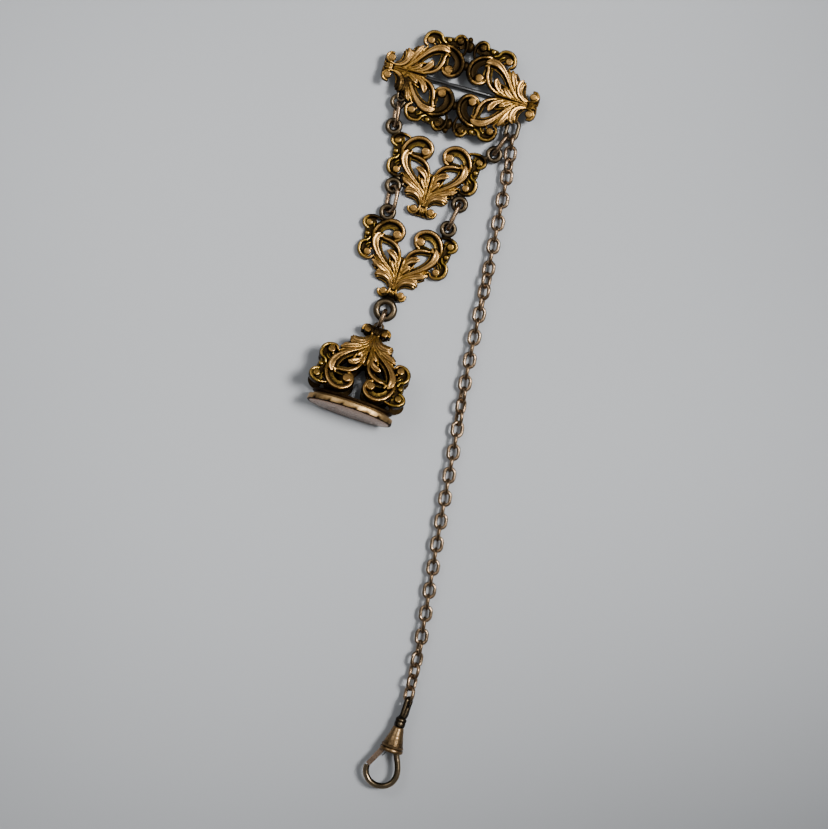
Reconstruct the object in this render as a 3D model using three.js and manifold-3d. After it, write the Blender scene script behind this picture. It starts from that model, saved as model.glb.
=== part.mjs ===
// Watch pin with a fob of openwork panels, a seal and a safety chain with a swivel.
// Millimetres. X runs along the brooch, the fob and chain hang towards -Y, Z is up off the table.
import * as THREE from "three";
import { mergeVertices } from "three/addons/utils/BufferGeometryUtils.js";
import Module from "manifold-3d";

const wasm = await Module();
wasm.setup();

// Driving dimensions
const mergeDistance = 0.02;
const shellThickness = 1.45;
const broochFootX = 18.4;
const broochBackZ = 2.6;
const ringZ = 1.25;
const bottomRingZ = 1.45;
const panelRingRadius = 2.05;
const panelRingWire = 0.75;
const upperPanelFoot = [-0.8, -32.3];
const lowerPanelFoot = [-2.4, -54.2];
const lowerPanelTurn = -1.6;
const jumpRingWire = 0.78;
const jumpRingWidth = 4.1;
const threadSlack = 0.2;
const eyeZ = 2.0;
const eyeWire = 0.7;
const pinZ = 1.4;
const sealFoot = [-3.4, -64.85];
const sealTurn = -2.8;
const sealTilt = 12.1;
const sealSplay = 9;
const sealGap = 0.35;
const sealBaseLength = 21.9;
const sealBaseWidth = 12.6;
const sealStepTop = 18.1;
const sealRimTop = 19.6;
const sealRimHeight = 1.6;
const plateRecess = 0.6;
const linkCount = 49;
const linkLength = 4.25;
const linkWidth = 3.3;
const linkWire = 0.66;
const swivelTop = [28.85, -157.2];
const swivelTurn = -2.6;
const barrelRadius = 3.05;
const bowWire = 1.3;
const gateWidth = 1.06;

// Colours
const finishes = {
  gold: { color: 0xc9a25a, roughness: 0.35, metalness: 1 },
  darkGold: { color: 0x8a7350, roughness: 0.45, metalness: 1 },
  oxidised: { color: 0x4a4038, roughness: 0.55, metalness: 1 },
  roseGold: { color: 0xc39a7c, roughness: 0.3, metalness: 1 },
  steel: { color: 0x8d8f92, roughness: 0.35, metalness: 1 },
  brass: { color: 0x9a7a4e, roughness: 0.4, metalness: 1 },
};

const root = new THREE.Group();

function addMesh(parent, name, geometry, finish) {
  const mesh = new THREE.Mesh(geometry, new THREE.MeshStandardMaterial(finishes[finish]));
  mesh.name = name;
  parent.add(mesh);
  return mesh;
}

// Solids: three.js geometry in and out of manifold-3d

function solidOf(geometry) {
  const bare = geometry.clone();
  bare.deleteAttribute("normal");
  bare.deleteAttribute("uv");
  const merged = mergeVertices(bare, 1e-4);
  return new wasm.Manifold(new wasm.Mesh({
    numProp: 3,
    vertProperties: merged.attributes.position.array,
    triVerts: new Uint32Array(merged.index.array),
  }));
}

function geometryOf(solid) {
  const mesh = solid.asOriginal().simplify(mergeDistance).getMesh();
  const geometry = new THREE.BufferGeometry();
  geometry.setAttribute("position", new THREE.BufferAttribute(mesh.vertProperties, 3));
  geometry.setIndex(new THREE.BufferAttribute(mesh.triVerts, 1));
  return geometry;
}

function union(geometries) {
  const joined = geometries.map(solidOf).reduce((whole, part) => whole.add(part));
  return geometryOf(joined);
}

function cut(geometry, tools) {
  const left = tools.map(solidOf).reduce((whole, tool) => whole.subtract(tool), solidOf(geometry));
  return geometryOf(left);
}

// Basic shapes

function slab(shape, height, segments = 8) {
  return new THREE.ExtrudeGeometry(shape, { depth: height, bevelEnabled: false, curveSegments: segments });
}

function disc(x, y, radius, height, segments = 7) {
  const shape = new THREE.Shape().absarc(x, y, radius, 0, 2 * Math.PI);
  return slab(shape, height, segments);
}

// A ribbon along a curve through the points, with half widths that change from point to point.
function ribbon(points, halfWidths, height, steps = 8) {
  const curve = new THREE.SplineCurve(points.map(([x, y]) => new THREE.Vector2(x, y)));
  const left = [];
  const right = [];
  for (let i = 0; i <= steps; i++) {
    const along = i / steps;
    const at = curve.getPoint(along);
    const tangent = curve.getTangent(along);
    const place = along * (halfWidths.length - 1);
    const k = Math.min(Math.floor(place), halfWidths.length - 2);
    const half = THREE.MathUtils.lerp(halfWidths[k], halfWidths[k + 1], place - k);
    left.push(new THREE.Vector2(at.x - tangent.y * half, at.y + tangent.x * half));
    right.unshift(new THREE.Vector2(at.x + tangent.y * half, at.y - tangent.x * half));
  }
  return slab(new THREE.Shape([...left, ...right]), height);
}

// A flat wire ring in the XY plane, stretched along Y to the given length.
function ring(length, width, wire, sides = 6, steps = 16) {
  const geometry = new THREE.TorusGeometry((width - wire) / 2, wire / 2, sides, steps);
  const place = geometry.attributes.position;
  const stretch = (length - width) / 2;
  for (let i = 0; i < place.count; i++) {
    const y = place.getY(i);
    if (Math.abs(y) > 1e-6) place.setY(i, y + Math.sign(y) * stretch);
  }
  return geometry;
}

function tube(points, radius, sides = 8, steps = 20) {
  const path = new THREE.CatmullRomCurve3(points.map((p) => new THREE.Vector3(...p)));
  const section = new THREE.Shape().absarc(0, 0, radius, 0, 2 * Math.PI);
  return new THREE.ExtrudeGeometry(section, {
    extrudePath: path, steps, curveSegments: sides, bevelEnabled: false,
  });
}

// A rod along Z, centred on the point.
function rodZ(x, y, z, radius, length, segments = 12) {
  return new THREE.CylinderGeometry(radius, radius, length, segments)
    .rotateX(Math.PI / 2).translate(x, y, z);
}

// A rod along Y, centred on the point.
function rodY(x, y, z, radius, length, segments = 12) {
  return new THREE.CylinderGeometry(radius, radius, length, segments).translate(x, y, z);
}

// A wire ring, placed: turn is about Z from +Y, roll stands it up about its long axis.
function placedRing(length, width, wire, centre, turn, roll, sides = 6, steps = 16) {
  return ring(length, width, wire, sides, steps)
    .rotateY(THREE.MathUtils.degToRad(roll))
    .rotateZ(THREE.MathUtils.degToRad(turn))
    .translate(...centre);
}

// A stretched ring whose wire passes through two holes: from and to are the hole centres.
function threadedRing(from, to, width, wire, centreZ, roll) {
  const radius = (width - wire) / 2;
  const lean = THREE.MathUtils.degToRad(roll);
  const across = [from, to].map((hole) => (hole[2] - centreZ) / Math.sin(lean));
  const reach = across.map((w) => Math.sqrt(radius * radius - w * w));
  const sideways = (across[0] - across[1]) * Math.cos(lean);
  const apart = new THREE.Vector2(from[0] - to[0], from[1] - to[1]);
  const along = Math.sqrt(apart.lengthSq() - sideways * sideways) - 2 * threadSlack;
  const straight = along - reach[0] - reach[1];
  const turn = Math.atan2(apart.y, apart.x) - Math.PI / 2 + Math.atan2(sideways, along);
  const forward = new THREE.Vector2(-Math.sin(turn), Math.cos(turn));
  const side = new THREE.Vector2(Math.cos(turn), Math.sin(turn));
  const centre = new THREE.Vector2(from[0], from[1])
    .addScaledVector(forward, -(threadSlack + reach[0] + straight / 2))
    .addScaledVector(side, -across[0] * Math.cos(lean));
  const length = straight + width;
  const turnDegrees = THREE.MathUtils.radToDeg(turn);
  return placedRing(length, width, wire, [centre.x, centre.y, centreZ], turnDegrees, -roll);
}

// The openwork leaf stamping: foot at the origin, ears towards +Y, back face on z = 0.

const halfPalmette = [
  // ear scroll, outer leaf, arch over the opening, two inner leaves, two lower leaves, foot
  { line: [[8.3, 12.4], [7.9, 14.8], [6.7, 16.5], [4.9, 17.2], [3.1, 16.8], [2.0, 15.6], [2.0, 14.2],
      [2.7, 13.4]],
    half: [0.7, 0.9, 0.95, 0.95, 0.9, 0.85, 0.8, 0.7], steps: 16 },
  { line: [[7.8, 13.2], [7.9, 11.8], [7.2, 9.9], [5.6, 8.0], [3.4, 6.2], [0.9, 4.0]],
    half: [0.6, 0.85, 0.75, 0.65, 0.75, 0.9], steps: 10 },
  { line: [[0.5, 8.0], [1.2, 10.2], [2.6, 12.0], [4.6, 12.7], [7.4, 12.8]],
      half: [0.6, 0.6, 0.6, 0.6, 0.6], steps: 8 },
  { line: [[0.5, 6.6], [1.4, 8.9], [2.6, 9.9], [4.0, 9.95]], half: [0.6, 0.9, 0.8, 0.5], steps: 6 },
  { line: [[0.5, 4.6], [1.3, 6.4], [2.3, 7.5]], half: [0.8, 0.9, 0.5], steps: 5 },
  { line: [[0.8, 3.4], [3.6, 5.7], [6.6, 6.6]], half: [1.0, 0.9, 0.7], steps: 6 },
  { line: [[0.7, 1.2], [1.5, 3.0], [3.2, 3.7], [5.0, 3.6]], half: [0.7, 1.0, 1.05, 0.8], steps: 7 },
  { line: [[0, -0.2], [1.4, -0.2], [2.5, 0]], half: [1.0, 1.0, 1.2], steps: 4 },
  { line: [[9.0, 15.2], [9.6, 13.0], [9.5, 10.2]], half: [0.9, 0.95, 0.9], steps: 4 },
];
const halfPalmetteDiscs = [
  [2.5, 0.1, 1.35], [3.1, 14.6, 1.05], [10.2, 16.0, 1.55], [10.4, 13.4, 0.75], [10.2, 12.2, 0.7],
      [9.2, 8.7, 1.9],
];

function palmette() {
  const pieces = [ribbon([[0, -0.8], [0, 4.5], [0, 9.6]], [1.0, 0.9, 0.5], shellThickness, 3)];
  for (const side of [1, -1]) {
    for (const { line, half, steps } of halfPalmette) {
      const points = line.map(([x, y]) => [side * x, y]);
      pieces.push(ribbon(points, half, shellThickness, steps));
    }
    for (const [x, y, radius] of halfPalmetteDiscs) {
      pieces.push(disc(side * x, y, radius, shellThickness, 7));
    }
  }
  return union(pieces);
}

// Places a stamping: turn is about Z, with the foot at the point.
function placedPalmette(foot, turn, z) {
  return palmette().rotateZ(THREE.MathUtils.degToRad(turn)).translate(foot[0], foot[1], z);
}

// Brooch

function pinJoint() {
  const base = new THREE.BoxGeometry(4.2, 3.2, 0.3).translate(13.6, 0, 2.4);
  const cheeks = [-1.2, 1.2].map((y) => {
    const shape = new THREE.Shape().absarc(0, 0, 1.0, Math.PI, 2 * Math.PI);
    shape.lineTo(1.0, 0.95);
    shape.lineTo(-1.0, 0.95);
    return slab(shape, 0.6).rotateX(Math.PI / 2).translate(13.6, y + 0.3, pinZ);
  });
  return cut(union([base, ...cheeks]), [rodY(13.6, 0, pinZ, 0.5, 6)]);
}

function pinCatch() {
  const hook = new THREE.Shape().absarc(0, 0, 1.15, -0.6, 3.9, false);
  hook.absarc(0, 0, 0.75, 3.9, -0.6, true);
  const curl = slab(hook, 1.6).rotateX(Math.PI / 2).rotateZ(Math.PI / 2).translate(-14.2 - 0.8, 0, pinZ);
  const base = new THREE.BoxGeometry(3, 2.6, 0.3).translate(-14.2, 0, 2.4);
  return union([curl, base]);
}

function pinStem() {
  const eye = cut(rodY(13.6, 0, pinZ, 0.8, 1.2, 16), [rodY(13.6, 0, pinZ, 0.5, 3)]);
  const stem = new THREE.LatheGeometry([
    new THREE.Vector2(0, 0), new THREE.Vector2(0.5, 0), new THREE.Vector2(0.5, 25),
    new THREE.Vector2(0.12, 29.6), new THREE.Vector2(0, 29.8),
  ], 10).rotateZ(Math.PI / 2).translate(12.9, 0, pinZ);
  return union([eye, stem]);
}

function hangingLoopLeft() {
  const eye = placedRing(3.8, 3.8, eyeWire, [-13.9, -7.75, eyeZ], 0, 0);
  const tab = ribbon([[-13.9, -6.3], [-13.8, -4.6], [-13.6, -1.5]], [0.5, 0.6, 0.9], 0.6, 4);
  tab.translate(0, 0, 1.7);
  return union([eye, tab]);
}

function hangingLoopRight() {
  const loop = placedRing(5.7, 3.6, eyeWire, [15.3, -6.8, eyeZ], 0, 0);
  const tab = ribbon([[14.9, -4.4], [14.3, -3.2], [13.9, -2.3]], [0.8, 0.8, 0.8], 0.6, 4);
  tab.translate(0, 0, 1.7);
  return union([loop, tab]);
}

function addBrooch() {
  addMesh(root, "brooch_stamping_left", placedPalmette([-broochFootX, 0], -90, broochBackZ), "gold");
  addMesh(root, "brooch_stamping_right", placedPalmette([broochFootX, 0], 90, broochBackZ), "gold");
  addMesh(root, "pin_joint", pinJoint(), "oxidised");
  addMesh(root, "pin_catch", pinCatch(), "oxidised");
  addMesh(root, "pin_rivet", rodY(13.6, 0, pinZ, 0.38, 3.4), "steel");
  addMesh(root, "pin_stem", pinStem(), "steel");
  addMesh(root, "hanging_loop_left", hangingLoopLeft(), "oxidised");
  addMesh(root, "hanging_loop_right", hangingLoopRight(), "oxidised");
}

// Fob panels, their soldered rings and the jump rings between them

function addPanel(name, foot, turn, rings) {
  const panel = new THREE.Group();
  panel.position.set(foot[0], foot[1], 0);
  panel.rotation.z = THREE.MathUtils.degToRad(turn);
  root.add(panel);
  const clearances = rings.map(({ at, radius, wire }) =>
    placedRing(2 * radius + 0.5, 2 * radius + 0.5, wire + 0.6, at, 0, 0, 8, 20));
  addMesh(panel, name, cut(palmette(), clearances), "gold");
  for (const { label, at, radius, wire } of rings) {
    const solid = placedRing(2 * radius, 2 * radius, wire, at, 0, 0);
    addMesh(panel, `${name}_ring_${label}`, solid, "oxidised");
  }
}

function addFob() {
  const small = { radius: panelRingRadius, wire: panelRingWire };
  addPanel("upper_panel", upperPanelFoot, 0, [
    { label: "top_left", at: [-12.5, 18.5, ringZ], ...small },
    { label: "top_right", at: [13.5, 18.5, ringZ], ...small },
    { label: "bottom_left", at: [-8.6, 4.2, ringZ], ...small },
    { label: "bottom_right", at: [8.6, 4.2, ringZ], ...small },
  ]);
  addPanel("lower_panel", lowerPanelFoot, lowerPanelTurn, [
    { label: "top_left", at: [-7.05, 19.2, ringZ], ...small },
    { label: "top_right", at: [8.65, 19.65, ringZ], ...small },
    { label: "bottom", at: [-0.3, -4.25, bottomRingZ], radius: 2.95, wire: 1.05 },
  ]);
  const upright = 90;
  const topLeft = [-13.3, -13.8, ringZ];
  const topRight = [12.7, -13.8, ringZ];
  const jumpRings = [
    { name: "jump_ring_upper_left", from: [-13.9, -7.75, eyeZ], to: topLeft, centreZ: 2.08, roll: 75 },
    { name: "jump_ring_upper_right", from: [14.7, -7.9, eyeZ], to: topRight, centreZ: 2.08, roll: upright },
    { name: "jump_ring_lower_left", from: [-9.4, -28.1, ringZ], to: [-8.9, -34.8, ringZ], centreZ: 1.7,
        roll: 50 },
    { name: "jump_ring_lower_right", from: [7.8, -28.1, ringZ], to: [6.8, -34.8, ringZ], centreZ: 2.08,
        roll: upright },
  ];
  for (const { name, from, to, centreZ, roll } of jumpRings) {
    addMesh(root, name, threadedRing(from, to, jumpRingWidth, jumpRingWire, centreZ, roll), "roseGold");
  }
  const link = threadedRing([-2.65, -58.5, bottomRingZ], [-3.2, -63.2, 1.6], 3.7, 0.85, 1.88, upright);
  addMesh(root, "seal_link", link, "roseGold");
}

// Seal: two splayed stampings on an oval base, lying on its back

function oval(length, width, height, from) {
  const shape = new THREE.Shape().absellipse(0, 0, length / 2, width / 2, 0, 2 * Math.PI);
  return slab(shape, height, 36).rotateX(Math.PI / 2).translate(0, -from, 0);
}

function sealStamping(side) {
  const splay = THREE.MathUtils.degToRad(sealSplay);
  const leaf = palmette().rotateZ(Math.PI).translate(0, -1.5, sealGap).rotateX(-splay).translate(0, 1.5, 0);
  return side > 0 ? leaf : leaf.rotateY(Math.PI);
}

function addSeal() {
  const seal = new THREE.Group();
  const tilt = THREE.MathUtils.degToRad(sealTilt);
  const backReach = sealGap + shellThickness + 0.05;
  seal.rotation.set(-tilt, 0, THREE.MathUtils.degToRad(sealTurn), "ZYX");
  seal.position.set(sealFoot[0], sealFoot[1], backReach * Math.cos(tilt) + 0.1);
  root.add(seal);
  const rim = union([
    oval(sealBaseLength - 1.4, sealBaseWidth - 3.2, sealRimTop - sealStepTop + 0.2, sealStepTop),
    oval(sealBaseLength, sealBaseWidth, sealRimHeight, sealRimTop),
  ]);
  const plateTop = sealRimTop + sealRimHeight - plateRecess;
  const recess = oval(sealBaseLength - 1.0, sealBaseWidth - 1.0, plateRecess + 1, plateTop);
  addMesh(seal, "seal_eye", placedRing(2.8, 2.8, 0.55, [0.15, 1.75, 0], 0, 0), "oxidised");
  addMesh(seal, "seal_stamping_front", sealStamping(1), "gold");
  addMesh(seal, "seal_stamping_back", sealStamping(-1), "gold");
  addMesh(seal, "seal_rim", cut(rim, [recess]), "roseGold");
  addMesh(seal, "seal_plate", oval(sealBaseLength - 1.4, sealBaseWidth - 1.4, 0.9, plateTop + 0.15),
      "roseGold");
}

// Chain: one end link, then pairs of links, each pair joined by a bead where the two wires meet

const chainRoute = new THREE.CatmullRomCurve3([
  [16.1, -9.75, 2.0], [17.2, -18.3, 1.75], [19.1, -40.5, 1.7], [21.4, -71.7, 1.7], [23.0, -85.7, 1.7],
  [25.3, -108.9, 1.7], [28.1, -133.2, 1.7], [28.7, -141.5, 1.9], [29.1, -148.6, 2.75],
].map((p) => new THREE.Vector3(...p)));
chainRoute.arcLengthDivisions = 2000;

// How far the links of a stretch are turned over from lying flat or standing up: [link, degrees].
const chainTurns = [[0, 0], [2, 35], [4, 0], [10, 0], [12, 42], [15, 0], [21, 0], [23, -42], [26, 0], [43, 0],
  [46, -45], [48, -45]];

function rollAt(link) {
  const next = chainTurns.findIndex(([at]) => at >= link);
  const [at1, turn1] = chainTurns[Math.max(next, 1)];
  const [at0, turn0] = chainTurns[Math.max(next, 1) - 1];
  return turn0 + ((turn1 - turn0) * (link - at0)) / (at1 - at0) + (link % 2 ? 0 : 90);
}

function linkGeometry(link) {
  const along = link / (linkCount - 1);
  const at = chainRoute.getPointAt(along);
  const forward = chainRoute.getTangentAt(along).negate();
  const side = new THREE.Vector3().crossVectors(forward, new THREE.Vector3(0, 0, 1)).normalize();
  const up = new THREE.Vector3().crossVectors(side, forward);
  const frame = new THREE.Matrix4().makeBasis(side, forward, up).setPosition(at);
  return ring(linkLength, linkWidth, linkWire, 5, 12)
    .rotateY(THREE.MathUtils.degToRad(-rollAt(link))).applyMatrix4(frame);
}

function beadBetween(link) {
  const at = chainRoute.getPointAt((link + 0.5) / (linkCount - 1));
  return new THREE.OctahedronGeometry(0.55, 0).translate(at.x, at.y, at.z);
}

function addChain() {
  addMesh(root, "chain_links_01", linkGeometry(0), "darkGold");
  for (let link = 1; link < linkCount; link += 2) {
    const name = `chain_links_${String((link + 3) / 2).padStart(2, "0")}`;
    const pair = union([linkGeometry(link), beadBetween(link), linkGeometry(link + 1)]);
    addMesh(root, name, pair, "darkGold");
  }
}

// Swivel, drawn with its axis along -Y from the top of the barrel at the origin

function swivelEye() {
  const collar = new THREE.LatheGeometry([
    [0, 2.3], [0.9, 2.3], [1.25, 1.9], [1.25, 0.6], [0.9, 0.3], [0.45, 0.3], [0.45, -2.2], [1.0, -2.2],
        [1.0, -2.8],
    [0, -2.8],
  ].map((p) => new THREE.Vector2(...p)).reverse(), 14);
  return union([placedRing(6.2, 2.9, 0.75, [0.3, 5.05, 0], 0, 60), collar]);
}

function swivelBarrel() {
  const shell = new THREE.LatheGeometry([
    [0.62, 0], [1.2, 0], [1.4, -0.5], [2.6, -4.6], [2.95, -4.9], [2.75, -5.3], [barrelRadius, -5.6],
    [barrelRadius, -6.1], [2.75, -6.4], [2.3, -6.4], [2.0, -3.6], [1.35, -1.7], [0.62, -1.6], [0.62, 0],
  ].map((p) => new THREE.Vector2(...p)).reverse(), 28);
  const gateSlot = new THREE.BoxGeometry(3.2, 3.2, gateWidth + 0.5).translate(-2.9, -6.0, 0);
  return cut(shell, [gateSlot, rodZ(-1.75, -5.5, 0, 0.45, 8)]);
}

const bowLine = [
  [1.25, -3.6, 0], [1.3, -5.0, 0], [1.42, -6.6, 0], [2.35, -8.8, 0], [2.95, -11.2, 0], [2.9, -13.2, 0],
  [1.9, -15.3, 0], [0.2, -16.35, 0], [-1.9, -16.3, 0], [-3.9, -15.0, 0], [-4.9, -13.0, 0], [-4.75, -11.4, 0],
];
const gatePivot = [-1.75, -5.5];
const gateTip = [-4.5, -10.7];

function gateBar() {
  const bar = ribbon([gatePivot, [-3.1, -8.05], gateTip], [0.62, 0.55, 0.5], gateWidth, 3);
  bar.translate(0, 0, -gateWidth / 2);
  const knuckle = disc(...gatePivot, 0.85, gateWidth, 14).translate(0, 0, -gateWidth / 2);
  return cut(union([bar, knuckle]), [rodZ(...gatePivot, 0, 0.45, 4)]);
}

function gateSpring() {
  const strip = ribbon([[-0.72, -4.6], [-0.75, -6.0], [-1.65, -8.0]], [0.1, 0.1, 0.1], 0.7, 5);
  return strip.translate(0, 0, -0.35);
}

function addSwivel() {
  const swivel = new THREE.Group();
  swivel.position.set(swivelTop[0], swivelTop[1], barrelRadius);
  swivel.rotation.z = THREE.MathUtils.degToRad(swivelTurn);
  root.add(swivel);
  addMesh(swivel, "swivel_eye", swivelEye(), "oxidised");
  addMesh(swivel, "swivel_barrel", swivelBarrel(), "brass");
  addMesh(swivel, "swivel_hook", tube(bowLine, bowWire / 2, 5, 24), "gold");
  addMesh(swivel, "gate", gateBar(), "roseGold");
  addMesh(swivel, "gate_pin", rodZ(...gatePivot, 0, 0.36, 3.6), "steel");
  addMesh(swivel, "gate_spring", gateSpring(), "steel");
}

addBrooch();
addFob();
addSeal();
addChain();
addSwivel();

// The frame's origin is the middle of the whole object's footprint, on the table.
root.updateMatrixWorld(true);
const box = new THREE.Box3().setFromObject(root, true);
const middle = box.getCenter(new THREE.Vector3());
root.position.set(-middle.x, -middle.y, -box.min.z);

export default root;
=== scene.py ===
import math

import bpy
import numpy as np
from mathutils import Matrix, Vector


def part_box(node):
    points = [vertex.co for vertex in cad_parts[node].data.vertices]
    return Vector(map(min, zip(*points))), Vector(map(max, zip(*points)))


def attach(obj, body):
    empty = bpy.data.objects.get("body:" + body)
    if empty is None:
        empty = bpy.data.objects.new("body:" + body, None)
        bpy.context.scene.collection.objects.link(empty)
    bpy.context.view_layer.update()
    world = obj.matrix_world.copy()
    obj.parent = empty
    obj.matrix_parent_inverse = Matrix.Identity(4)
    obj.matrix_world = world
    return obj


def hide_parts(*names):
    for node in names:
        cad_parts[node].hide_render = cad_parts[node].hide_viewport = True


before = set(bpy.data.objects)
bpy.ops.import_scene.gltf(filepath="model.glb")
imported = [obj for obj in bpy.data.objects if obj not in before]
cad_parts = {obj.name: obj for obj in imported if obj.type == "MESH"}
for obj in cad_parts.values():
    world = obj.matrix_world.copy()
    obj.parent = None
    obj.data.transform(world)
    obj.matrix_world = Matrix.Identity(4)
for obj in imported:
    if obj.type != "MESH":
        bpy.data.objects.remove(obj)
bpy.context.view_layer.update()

# Pieces are drawn in millimetres about the middle of the brooch, then settled into the frame.
broochBackZ = 2.6
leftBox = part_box("brooch_stamping_left")
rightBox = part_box("brooch_stamping_right")
broochMiddle = Vector((
    (leftBox[0].x + rightBox[1].x) / 2,
    (leftBox[0].y + leftBox[1].y) / 2,
    leftBox[0].z - broochBackZ / 1000,
))
toFrame = Matrix.Translation(broochMiddle) @ Matrix.Scale(0.001, 4)


# Small modelling helpers

def pick(*pieces):
    if bpy.context.mode != "OBJECT":
        bpy.ops.object.mode_set(mode="OBJECT")
    bpy.ops.object.select_all(action="DESELECT")
    for piece in pieces:
        piece.select_set(True)
    bpy.context.view_layer.objects.active = pieces[-1]


def editWhere(piece, test, kind="VERT"):
    # into edit mode with only the vertices or faces that pass the test
    pick(piece)
    bpy.ops.object.mode_set(mode="EDIT")
    bpy.ops.mesh.select_mode(type=kind)
    bpy.ops.mesh.select_all(action="DESELECT")
    bpy.ops.object.mode_set(mode="OBJECT")
    if kind == "VERT":
        for vertex in piece.data.vertices:
            vertex.select = test(vertex.co)
    else:
        for face in piece.data.polygons:
            face.select = test(face)
    bpy.ops.object.mode_set(mode="EDIT")


def editAll(piece):
    pick(piece)
    bpy.ops.object.mode_set(mode="EDIT")
    bpy.ops.mesh.select_all(action="SELECT")


def leaveEdit():
    bpy.ops.object.mode_set(mode="OBJECT")


def useModifier(piece, kind, **settings):
    pick(piece)
    modifier = piece.modifiers.new(kind.lower(), kind)
    for key, value in settings.items():
        setattr(modifier, key, value)
    bpy.ops.object.modifier_apply(modifier=modifier.name)


def joinAll(pieces):
    pick(*pieces)
    bpy.ops.object.join()
    return bpy.context.object


def mendNormals(piece, merge=0.0005):
    editAll(piece)
    bpy.ops.mesh.remove_doubles(threshold=merge)
    bpy.ops.mesh.normals_make_consistent(inside=False)
    leaveEdit()


def applyPlace(piece, place):
    pick(piece)
    piece.matrix_world = place @ piece.matrix_world
    bpy.ops.object.transform_apply(location=True, rotation=True, scale=True)


def copyOf(piece):
    twin = piece.copy()
    twin.data = piece.data.copy()
    bpy.context.scene.collection.objects.link(twin)
    return twin


def turnAndMove(x, y, z, turn=0.0, roll=0.0):
    # roll about the long axis Y first, then turn about Z, then move
    return (Matrix.Translation((x, y, z)) @ Matrix.Rotation(math.radians(turn), 4, "Z")
            @ Matrix.Rotation(math.radians(roll), 4, "Y"))


def settle(piece, name, body, metal, nodes, place=Matrix.Identity(4), smooth=35):
    applyPlace(piece, toFrame @ place)
    piece.name = name
    piece.data.name = name
    piece.data.materials.clear()
    piece.data.materials.append(metals[metal])
    pick(piece)
    bpy.ops.object.shade_smooth_by_angle(angle=math.radians(smooth))
    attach(piece, body)
    if nodes:
        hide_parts(*nodes)
    return piece


# Materials: worn, tarnished metals. The colour attribute painted on each piece holds tarnish mixed with
# painted shade, rubbed tops mixed with painted highlight, and side trim.

def newNode(tree, kind, **settings):
    node = tree.nodes.new(kind)
    for key, value in settings.items():
        setattr(node, key, value)
    return node


def noiseOf(tree, place, scale, detail=3.0, rough=0.55):
    node = newNode(tree, "ShaderNodeTexNoise")
    node.inputs["Scale"].default_value = scale
    node.inputs["Detail"].default_value = detail
    node.inputs["Roughness"].default_value = rough
    tree.links.new(place, node.inputs["Vector"])
    return node.outputs["Fac"]


def rangeOf(tree, value, low, high, toLow=0.0, toHigh=1.0):
    node = newNode(tree, "ShaderNodeMapRange", interpolation_type="SMOOTHSTEP")
    tree.links.new(value, node.inputs["Value"])
    node.inputs["From Min"].default_value = low
    node.inputs["From Max"].default_value = high
    node.inputs["To Min"].default_value = toLow
    node.inputs["To Max"].default_value = toHigh
    return node.outputs["Result"]


def mathOf(tree, operation, first, second, clamp=True):
    node = newNode(tree, "ShaderNodeMath", operation=operation, use_clamp=clamp)
    for socket, value in zip(node.inputs, (first, second)):
        if isinstance(value, (int, float)):
            socket.default_value = value
        else:
            tree.links.new(value, socket)
    return node.outputs["Value"]


def blendOf(tree, share, first, second):
    node = newNode(tree, "ShaderNodeMix", data_type="RGBA")
    tree.links.new(share, node.inputs["Factor"])
    colours = [s for s in node.inputs if s.type == "RGBA"]
    for socket, value in zip(colours, (first, second)):
        if isinstance(value, tuple):
            socket.default_value = (*value, 1.0)
        else:
            tree.links.new(value, socket)
    return [s for s in node.outputs if s.type == "RGBA"][0]


def agedMetal(name, look):
    material = bpy.data.materials.new(name)
    material.use_nodes = True
    tree = material.node_tree
    shader = tree.nodes["Principled BSDF"]
    place = newNode(tree, "ShaderNodeTexCoord").outputs["Object"]
    broad = noiseOf(tree, place, look["patchScale"], 4.0, 0.6)
    fine = noiseOf(tree, place, look["grainScale"], 5.0, 0.65)
    wearAndShade = newNode(tree, "ShaderNodeAttribute", attribute_name="wearAndShade", attribute_type="GEOMETRY")
    parts = newNode(tree, "ShaderNodeSeparateColor")
    tree.links.new(wearAndShade.outputs["Color"], parts.inputs["Color"])
    tarnishAndShade = parts.outputs["Red"]
    rubbedSheen = parts.outputs["Green"]
    trim = parts.outputs["Blue"]

    patches = rangeOf(tree, broad, 0.38, 0.64)
    body = blendOf(tree, patches, look["body"], look["bodyPatch"])
    trimmed = blendOf(tree, mathOf(tree, "MULTIPLY", trim, look["trimShare"]), body, look["trim"])
    # lighter colour where the attribute marks rubbed tops: partly wear, partly a painted highlight
    high = blendOf(tree, mathOf(tree, "MULTIPLY", rubbedSheen, look["highShare"]), trimmed, look["high"])
    grime = rangeOf(tree, fine, 0.42, 0.68)
    loose = mathOf(tree, "MULTIPLY", grime, look["grime"])
    speckled = mathOf(tree, "ADD", tarnishAndShade, mathOf(tree, "SUBTRACT", loose, look["grime"] * 0.35, False))
    # the dark colour goes where the attribute marks tarnish and painted shade, plus loose grime
    dirtAndShade = blendOf(tree, speckled, high, look["tarnishAndShade"])
    tree.links.new(dirtAndShade, shader.inputs["Base Color"])

    shader.inputs["Metallic"].default_value = 1.0
    rough = mathOf(tree, "ADD", mathOf(tree, "MULTIPLY", speckled, look["tarnishRough"]),
                   mathOf(tree, "MULTIPLY", fine, look["grainRough"]))
    rough = mathOf(tree, "ADD", rough, look["rough"])
    tree.links.new(rough, shader.inputs["Roughness"])

    bump = newNode(tree, "ShaderNodeBump")
    bump.inputs["Strength"].default_value = look["bump"]
    bump.inputs["Distance"].default_value = 0.00012
    tree.links.new(mathOf(tree, "ADD", fine, broad), bump.inputs["Height"])
    tree.links.new(bump.outputs["Normal"], shader.inputs["Normal"])
    return material


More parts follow.
